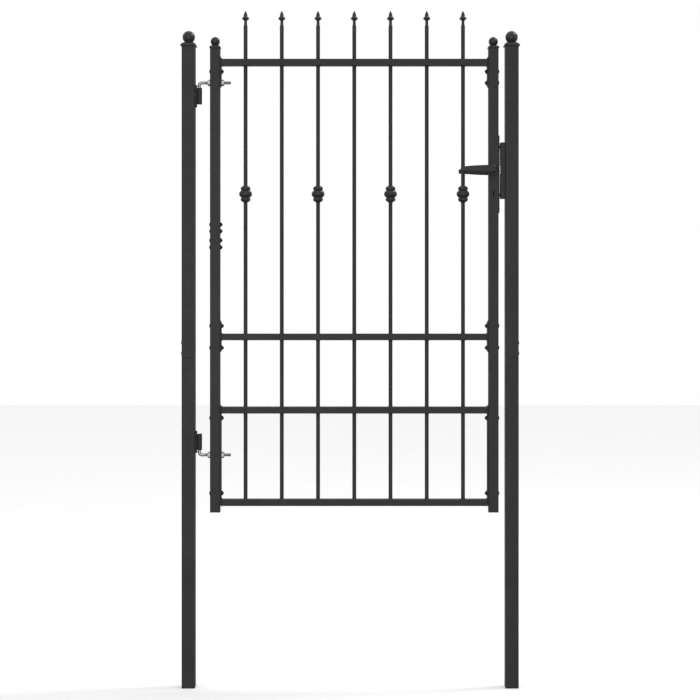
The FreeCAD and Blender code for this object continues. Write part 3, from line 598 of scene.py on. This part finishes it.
# Lever outline in millimetres: distance from the tip, lower and upper edge about the spindle, half thickness
LEVER_OUTLINE = [
    (0.2, -6.0, 2.5, 2.6),
    (1.6, -7.8, 4.6, 4.2),
    (6.0, -8.4, 6.2, 4.8),
    (20.0, -9.0, 8.0, 4.95),
    (43.0, -10.5, 9.8, 4.95),
    (58.0, -11.4, 10.6, 4.95),
    (94.5, -12.5, 12.0, 4.95),
]
LEVER_POWER = 3.0
NECK_POWER = 2.3


def lever_handle(node):
    """A drop-shaped lever that turns back into an oval neck and a round journal."""
    low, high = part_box(node)
    way = -1 if node.endswith("front") else 1
    journal_r = 8 * MM
    axis_x = high.x - journal_r
    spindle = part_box("handle_spindle")
    spindle_z = (spindle[0].z + spindle[1].z) / 2
    face = max(abs(low.y), abs(high.y))
    grip_half = 5 * MM
    loops = []
    for from_tip, floor_z, top_z, half_thick in smooth_line(LEVER_OUTLINE, 5):
        place = Vector((low.x + from_tip * MM, way * (face - grip_half), spindle_z))
        loops.append(lever_section(place, Vector((0, way, 0)), half_thick * MM,
                                   spindle_z + floor_z * MM, spindle_z + top_z * MM, LEVER_POWER))
    root_x = low.x + LEVER_OUTLINE[-1][0] * MM
    bend_r = axis_x - root_x
    root_floor, root_top = (spindle_z + edge * MM for edge in LEVER_OUTLINE[-1][1:3])
    bend_y = face - grip_half - bend_r
    for step in range(1, 9):
        share = step / 8
        turn = math.radians(90 * share)
        out = Vector((math.sin(turn), way * math.cos(turn), 0))
        place = Vector((root_x, way * bend_y, spindle_z)) + out * bend_r
        loops.append(lever_section(place, out, grip_half + 2 * MM * share, root_floor + 0.8 * MM * share,
                                   root_top - 0.4 * MM * share, LEVER_POWER))
    neck_half = 11.8 * MM
    neck_end = 21 * MM
    for share in (0.35, 0.75, 1.0):
        tall = neck_half + (journal_r - neck_half) * share
        place = Vector((axis_x, way * (bend_y + (neck_end - bend_y) * share), spindle_z))
        loops.append(lever_section(place, Vector((1, 0, 0)), (7 + share) * MM,
                                   spindle_z - tall, spindle_z + tall, NECK_POWER))
    place = Vector((axis_x, way * min(abs(low.y), abs(high.y)), spindle_z))
    loops.append(lever_section(place, Vector((1, 0, 0)), journal_r,
                               spindle_z - journal_r, spindle_z + journal_r, 2.0))
    bm = bmesh.new()
    loft(bm, loops)
    name = node.replace("handle", "lever")
    finish_piece(name, bm, MATERIALS["coated_handle"], "handle", "coated_handle", node)


def stadium(half_w, half_h, y, centre, count=48):
    """A loop round a plate with round ends."""
    loop = []
    for step in range(count):
        angle = 2 * math.pi * step / count
        lift = half_h - half_w if math.sin(angle) >= 0 else half_w - half_h
        x = centre.x + half_w * math.cos(angle)
        loop.append(Vector((x, y, centre.z + lift + half_w * math.sin(angle))))
    return loop


def rose_set():
    """Bearing plates with a turned edge and a raised ring round the neck."""
    bm = bmesh.new()
    for low, high in solids("handle_roses"):
        centre = (low + high) / 2
        way = 1 if centre.y > 0 else -1
        back = min(abs(low.y), abs(high.y))
        thick = high.y - low.y
        half_w = (high.x - low.x) / 2
        half_h = (high.z - low.z) / 2
        hole = 8.08 * MM
        steps = [(0.0, 0.0), (0.0, thick - 1.6 * MM), (0.5 * MM, thick - 0.9 * MM)]
        steps += [(1.6 * MM, thick - 0.5 * MM), (4.0 * MM, thick - 0.5 * MM)]
        loops = [stadium(hole, hole, way * back, centre)]
        for inset, rise in steps:
            loops.append(stadium(half_w - inset, half_h - inset, way * (back + rise), centre))
        for radius, rise in ((9.6 * MM, thick - 0.4 * MM), (9.3 * MM, thick), (hole, thick)):
            loops.append(stadium(radius, radius, way * (back + rise), centre))
        loft(bm, loops, ring=True)
    finish_piece("rose_plates", bm, MATERIALS["coated_handle"], "gate_leaf", "coated_handle", "handle_roses")


# ---- latch spring ----

def latch_coil():
    """The coil behind the latch, a fixed helix of wire."""
    low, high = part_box("latch_spring")
    wire = 0.35 * MM
    coil_r = (high.z - low.z) / 2 - wire
    centre = (low + high) / 2
    length = high.x - low.x - 2 * wire
    loops = []
    steps = COIL_TURNS * 24
    for step in range(steps + 1):
        turn = 2 * math.pi * COIL_TURNS * step / steps
        out = Vector((0, math.sin(turn), math.cos(turn)))
        place = Vector((low.x + wire + length * step / steps, centre.y, centre.z)) + out * coil_r
        angles = [math.pi * i / 4 for i in range(8)]
        loops.append([place + wire * (out * math.cos(a) + Vector((math.sin(a), 0, 0))) for a in angles])
    bm = bmesh.new()
    loft(bm, loops)
    piece = finish_piece("latch_coil", bm, MATERIALS["bare_steel"], "gate_leaf", "bare_steel", "latch_spring")
    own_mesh(piece)


# ---- welds ----

def bead_section(size):
    """The cross-section of a fillet weld in its corner: reach along one face, rise along the other."""
    buried = -0.4 * MM
    return [(buried, 0.0), (size, 0.0), (0.82 * size, 0.45 * size), (0.45 * size, 0.82 * size), (0.0, size),
            (buried, size)]


def bead_size(width, x, y, seed):
    """The width of a weld at a place, uneven as the metal froze."""
    grain = 0.55 / MM
    return width * (1 + 0.16 * noise.noise(Vector((x * grain, y * grain, seed))))


def ring_bead(bm, outline, place, width, seed):
    """A weld round an outline in the local XY plane, climbing along local Z."""
    loops = []
    for (x, y), (out_x, out_y) in outline:
        section = bead_section(bead_size(width, x, y, seed))
        loop = [Vector((x + out_x * reach, y + out_y * reach, rise)) for reach, rise in section]
        loops.append([place @ point for point in loop])
    loft(bm, loops, ring=True)


def round_outline(radius, count=28):
    """Points and outward directions round a circle."""
    turns = [2 * math.pi * i / count for i in range(count)]
    directions = [(math.cos(turn), math.sin(turn)) for turn in turns]
    return [((radius * x, radius * y), (x, y)) for x, y in directions]


def box_outline(half_x, half_y, corner):
    """Points and outward directions round a rectangle with rounded corners."""
    outline = []
    for quarter in range(4):
        middle_x = (half_x - corner) * (1 if quarter in (0, 3) else -1)
        middle_y = (half_y - corner) * (1 if quarter < 2 else -1)
        for step in range(5):
            angle = math.radians(90 * quarter + 22.5 * step)
            out = (math.cos(angle), math.sin(angle))
            outline.append(((middle_x + corner * out[0], middle_y + corner * out[1]), out))
    return spread(outline, 1.5 * MM)


def spread(outline, step):
    """Adds points along the straight stretches of a closed outline."""
    dense = []
    for (here, out), (there, _) in zip(outline, outline[1:] + outline[:1]):
        parts = max(1, round(math.dist(here, there) / step))
        for part in range(parts):
            share = part / parts
            point = tuple(a + (b - a) * share for a, b in zip(here, there))
            dense.append((point, out))
    return dense


def weld_beads():
    """Fillet welds: pickets through the rails and rail ends on their plates."""
    bm = bmesh.new()
    rails = [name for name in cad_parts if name.startswith("rail_")]
    pickets = [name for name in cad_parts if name.startswith("picket_") and name[-1].isdigit()]
    for rail in rails:
        low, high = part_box(rail)
        for index, picket in enumerate(pickets):
            x = sum(corner.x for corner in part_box(picket)) / 2
            for z, up in ((low.z, -1), (high.z, 1)):
                if rail != "rail_bottom" or up > 0:
                    place = along((0, 0, up), Vector((x, 0, z)))
                    ring_bead(bm, round_outline(6 * MM), place, PICKET_BEAD, index * 3.7 + z * 11 + up)
        half_y = (high.y - low.y) / 2
        half_z = (high.z - low.z) / 2
        for x, inward in ((low.x, 1), (high.x, -1)):
            place = along((inward, 0, 0), Vector((x, 0, (low.z + high.z) / 2)))
            ring_bead(bm, box_outline(half_y, half_z, 1.5 * MM), place, RAIL_BEAD, low.z * 7 + inward)
    finish_piece("leaf_weld_beads", bm, MATERIALS["powder_coat"], "gate_leaf", "powder_coat")


def barrel_welds():
    """Two upright welds between each hinge barrel and its plate."""
    bm = bmesh.new()
    for which in ("upper", "lower"):
        plate_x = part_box("hinge_bracket_" + which)[0].x + 4 * MM
        middle = sum(corner.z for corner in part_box("hinge_bracket_" + which)) / 2
        reach = 24.2 * MM
        for side in (-1, 1):
            loops = []
            for step in range(65):
                z = middle - reach + 2 * reach * step / 64
                ripple = 0.12 * math.sin(2 * math.pi * z / (2.6 * MM))
                taper = min(1.0, 4 * min(step, 64 - step) / 64 + 0.35)
                size = bead_size(BARREL_BEAD, z, side, 3.0) * taper * (1 + ripple)
                corner = Vector((plate_x, side * 4.2 * MM, z))
                loops.append([corner + Vector((rise, side * along_plate, 0))
                              for along_plate, rise in bead_section(size)])
            loft(bm, loops)
    finish_piece("barrel_weld_beads", bm, MATERIALS["powder_coat"], "posts", "powder_coat")


# ---- edges of the CAD plates ----

def soften_edges():
    """Rounds the sharp edges of folded and cut plates with modifiers; their meshes stay as they are."""
    for name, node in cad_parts.items():
        for start, width in EDGE_ROUNDS.items():
            if name.startswith(start) and name != "keep_screws":
                weld = node.modifiers.new("weld", "WELD")
                weld.merge_threshold = 0.01 * MM
                bevel = node.modifiers.new("edge_round", "BEVEL")
                bevel.width = width
                bevel.segments = 3
                bevel.limit_method = "ANGLE"
                bevel.angle_limit = math.radians(40)


# ---- stage ----

def studio():
    """A white backdrop for the camera; as light, it is bright above, dim below and nearly even all round."""
    scene = bpy.context.scene
    scene.view_settings.view_transform = "Standard"
    world = bpy.data.worlds.new("studio")
    world.use_nodes = True
    scene.world = world
    nodes = world.node_tree.nodes
    links = world.node_tree.links
    shown = nodes["Background"]
    shown.inputs["Color"].default_value = (1, 1, 1, 1)
    lit = nodes.new("ShaderNodeBackground")
    ramp = nodes.new("ShaderNodeValToRGB")
    stops = ramp.color_ramp.elements
    stops[0].position, stops[0].color = 0.0, (WORLD_BELOW, WORLD_BELOW, WORLD_BELOW, 1)
    stops[1].position, stops[1].color = 1.0, (WORLD_ABOVE, WORLD_ABOVE, WORLD_ABOVE, 1)
    middle = stops.new(0.5)
    middle.color = (WORLD_LEVEL, WORLD_LEVEL, WORLD_LEVEL, 1)
    direction = nodes.new("ShaderNodeTexCoord")
    parts = nodes.new("ShaderNodeSeparateXYZ")
    height = nodes.new("ShaderNodeMapRange")
    height.inputs["From Min"].default_value = -1.0
    links.new(direction.outputs["Generated"], parts.inputs["Vector"])
    links.new(parts.outputs["Z"], height.inputs["Value"])
    links.new(height.outputs["Result"], ramp.inputs["Fac"])
    links.new(ramp.outputs["Color"], lit.inputs["Color"])
    depth = nodes.new("ShaderNodeMapRange")
    depth.inputs["From Min"].default_value = -1.0
    depth.inputs["To Min"].default_value = WORLD_FRONT
    depth.inputs["To Max"].default_value = WORLD_BACK
    links.new(parts.outputs["Y"], depth.inputs["Value"])
    links.new(depth.outputs["Result"], lit.inputs["Strength"])
    path = nodes.new("ShaderNodeLightPath")
    mix = nodes.new("ShaderNodeMixShader")
    links.new(path.outputs["Is Camera Ray"], mix.inputs["Fac"])
    links.new(lit.outputs["Background"], mix.inputs[1])
    links.new(shown.outputs["Background"], mix.inputs[2])
    links.new(mix.outputs["Shader"], nodes["World Output"].inputs["Surface"])


def soft_light(name, place, target, size, power):
    light = bpy.data.lights.new(name, "AREA")
    light.shape = "DISK"
    light.size = size
    light.energy = power
    lamp = bpy.data.objects.new(name, light)
    lamp.location = place
    lamp.rotation_euler = (Vector(target) - Vector(place)).to_track_quat("-Z", "Y").to_euler()
    bpy.context.scene.collection.objects.link(lamp)


def pale_floor():
    bm = bmesh.new()
    half = FLOOR_HALF
    corners = [(-half, -half), (half, -half), (half, half), (-half, half)]
    bm.faces.new([bm.verts.new((x, y, cad_box[0].z)) for x, y in corners])
    mesh = bpy.data.meshes.new("floor")
    bm.to_mesh(mesh)
    bm.free()
    floor = bpy.data.objects.new("floor", mesh)
    s = Shader("floor_look")
    grey = s.mix(s.ranged(s.noise(3.0), 0.0, 1.0), (0.93, 0.93, 0.93), (0.95, 0.95, 0.95))
    s.link(grey, s.surface.inputs["Base Color"])
    s.surface.inputs["Roughness"].default_value = 1.0
    s.surface.inputs["Specular IOR Level"].default_value = 0.0
    s.surface.inputs["Emission Color"].default_value = (1, 1, 1, 1)
    s.surface.inputs["Emission Strength"].default_value = FLOOR_GLOW
    mesh.materials.append(s.material)
    floor.visible_diffuse = False
    floor.visible_glossy = False
    bpy.context.scene.collection.objects.link(floor)


def photograph_camera():
    camera = bpy.data.cameras.new("camera")
    camera.lens = LENS
    camera.sensor_width = SENSOR
    camera.shift_y = LENS_SHIFT
    holder = bpy.data.objects.new("camera", camera)
    frame_width = CAMERA_DISTANCE * SENSOR / LENS
    holder.location = (CAMERA_X, -CAMERA_DISTANCE, VIEW_CENTRE_Z - LENS_SHIFT * frame_width)
    holder.rotation_euler = (math.radians(90), 0, 0)
    bpy.context.scene.collection.objects.link(holder)
    bpy.context.scene.camera = holder


photograph_camera()
studio()
soft_light("key", place=(3.2, 0.6, 5.4), target=(0, 0, 1.6), size=0.9, power=90)
soft_light("fill", place=(-0.6, -5.5, 1.2), target=(0, 0, 0.8), size=3.0, power=38)
pale_floor()
paint_cad_nodes()
soften_edges()
for which in ("upper", "lower"):
    hinge_rod(which)
hinge_hex_nuts()
flange_nut_set()
carriage_bolt_set()
socket_screws("post_dome_screws", "post_screws", "posts", "black_fastener", 3.6 * MM, 4 * MM)
socket_screws("bracket_dome_screws", "hinge_bracket_screws", "posts", "black_fastener", 2.6 * MM, 2.5 * MM)
socket_screws("keep_dome_screws", "keep_screws", "posts", "black_fastener", 1.5 * MM, 3 * MM)
socket_screws("forend_dome_screws", "forend_screws", "gate_leaf", "black_fastener", 1.5 * MM, 3 * MM)
for cap in ("post_cap_left", "post_cap_right", "stile_cap_left", "stile_cap_right"):
    ball_cap(cap)
spear_tip_set()
collar_set()
lever_handle("handle_front")
lever_handle("handle_back")
rose_set()
latch_coil()
weld_beads()
barrel_welds()
